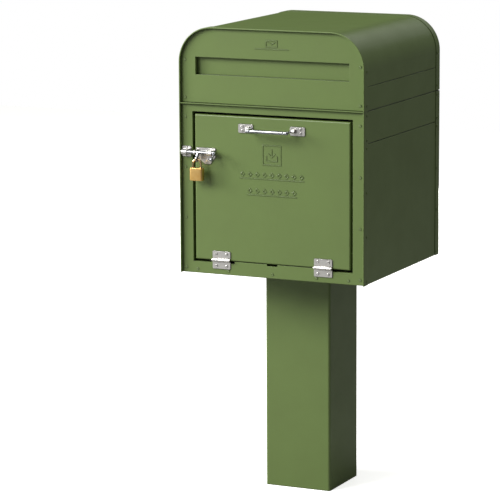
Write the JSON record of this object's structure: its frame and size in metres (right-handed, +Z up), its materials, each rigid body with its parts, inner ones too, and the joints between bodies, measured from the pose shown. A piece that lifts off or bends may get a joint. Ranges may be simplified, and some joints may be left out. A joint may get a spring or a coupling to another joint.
{
  "type": "mailbox",
  "caption": "Pedestal mailbox on a square post: letter slot with inner flap above a parcel compartment with a drop-down door, pull handle, slide bolt and padlock, and a rear mail door.",
  "frame": {"origin": "centre of the post's foot, in the plane of the base plate's underside", "axes": "+Z up, -Y towards the parcel door and the letter slot, +X to the right seen from the front"},
  "size_m": [0.3518, 0.3739, 0.834],
  "materials": {
    "green_paint": "olive green powder coat, satin",
    "stainless": "brushed stainless steel",
    "chrome_plate": "bright chrome plate",
    "brass": "machined brass",
    "shackle_steel": "plated hardened steel",
    "rubber": "black sponge rubber"
  },
  "bodies": {
    "cabinet": {"post_column": "green_paint", "post_base_plate": "green_paint", "post_top_plate": "green_paint", "mount_bolts": "stainless", "mount_washers": "stainless", "mount_nuts": "stainless", "floor_pan": "green_paint", "main_side_left": "green_paint", "main_side_right": "green_paint", "lower_band_left": "green_paint", "lower_band_right": "green_paint", "lower_front_frame": "green_paint", "door_stop_frame": "green_paint", "door_gasket": "rubber", "lower_back_panel": "green_paint", "lower_face_rivets": "green_paint", "lower_wrap_rivets": "green_paint", "lower_back_rivets": "green_paint", "hinge_fixed_leaves": "stainless", "hinge_frame_screws": "stainless", "latch_keeper": "stainless", "keeper_screws": "stainless", "partition": "green_paint", "module_rivets": "green_paint", "upper_band_left": "green_paint", "upper_band_right": "green_paint", "upper_front_frame": "green_paint", "upper_face_rivets": "green_paint", "cap": "green_paint", "upper_wrap_rivets": "green_paint", "flap_pin": "stainless", "flap_brackets": "green_paint", "upper_back_frame": "green_paint", "mail_hinge_fixed_leaves": "stainless", "mail_hinge_frame_screws": "stainless"},
    "door": {"door_skin": "green_paint", "door_liner": "green_paint", "hinge_moving_leaves": "stainless", "hinge_pins": "stainless", "hinge_door_screws": "stainless", "handle_plates": "stainless", "handle_screws": "stainless", "latch_plate": "stainless", "latch_screws": "stainless"},
    "handle": {"handle_bail": "chrome_plate"},
    "bolt": {"latch_rod": "chrome_plate", "latch_ear": "chrome_plate", "latch_knob": "chrome_plate"},
    "shackle": {"padlock_shackle": "shackle_steel"},
    "padlock": {"padlock_body": "brass", "padlock_plug": "brass"},
    "flap": {"mail_flap": "green_paint"},
    "mail_door": {"mail_door_panel": "green_paint", "mail_hinge_moving_leaves": "stainless", "mail_hinge_pins": "stainless", "mail_hinge_door_screws": "stainless", "mail_lock_housing": "chrome_plate", "mail_lock_nut": "chrome_plate"},
    "mail_lock": {"mail_lock_plug": "chrome_plate", "mail_lock_cam": "chrome_plate"}
  },
  "joints": [
    {"name": "door_hinge", "type": "hinge", "parent": "cabinet", "child": "door", "pos_m": [0, -0.172, 0.426], "axis": [1, 0, 0], "range_deg": [0, 170]},
    {"name": "handle_hinge", "type": "hinge", "parent": "door", "child": "handle", "pos_m": [0, -0.1745, 0.6605], "axis": [1, 0, 0], "range_deg": [0, 80]},
    {"name": "bolt_slide", "type": "slide", "parent": "door", "child": "bolt", "axis": [1, 0, 0], "range_m": [0, 0.014]},
    {"name": "shackle_hinge", "type": "hinge", "parent": "bolt", "child": "shackle", "pos_m": [-0.137, -0.183, 0.6044], "axis": [1, 0, 0], "range_deg": [-80, 5]},
    {"name": "padlock_slide", "type": "slide", "parent": "shackle", "child": "padlock", "axis": [0, 0, -1], "range_m": [0, 0.008]},
    {"name": "flap_hinge", "type": "hinge", "parent": "cabinet", "child": "flap", "pos_m": [0, -0.1626, 0.786], "axis": [1, 0, 0], "range_deg": [0, 70]},
    {"name": "mail_door_hinge", "type": "hinge", "parent": "cabinet", "child": "mail_door", "pos_m": [0, 0.178, 0.719], "axis": [-1, 0, 0], "range_deg": [0, 170]},
    {"name": "mail_lock_turn", "type": "hinge", "parent": "mail_door", "child": "mail_lock", "pos_m": [0, 0.175, 0.791], "axis": [0, 1, 0], "range_deg": [0, 90]}
  ]
}
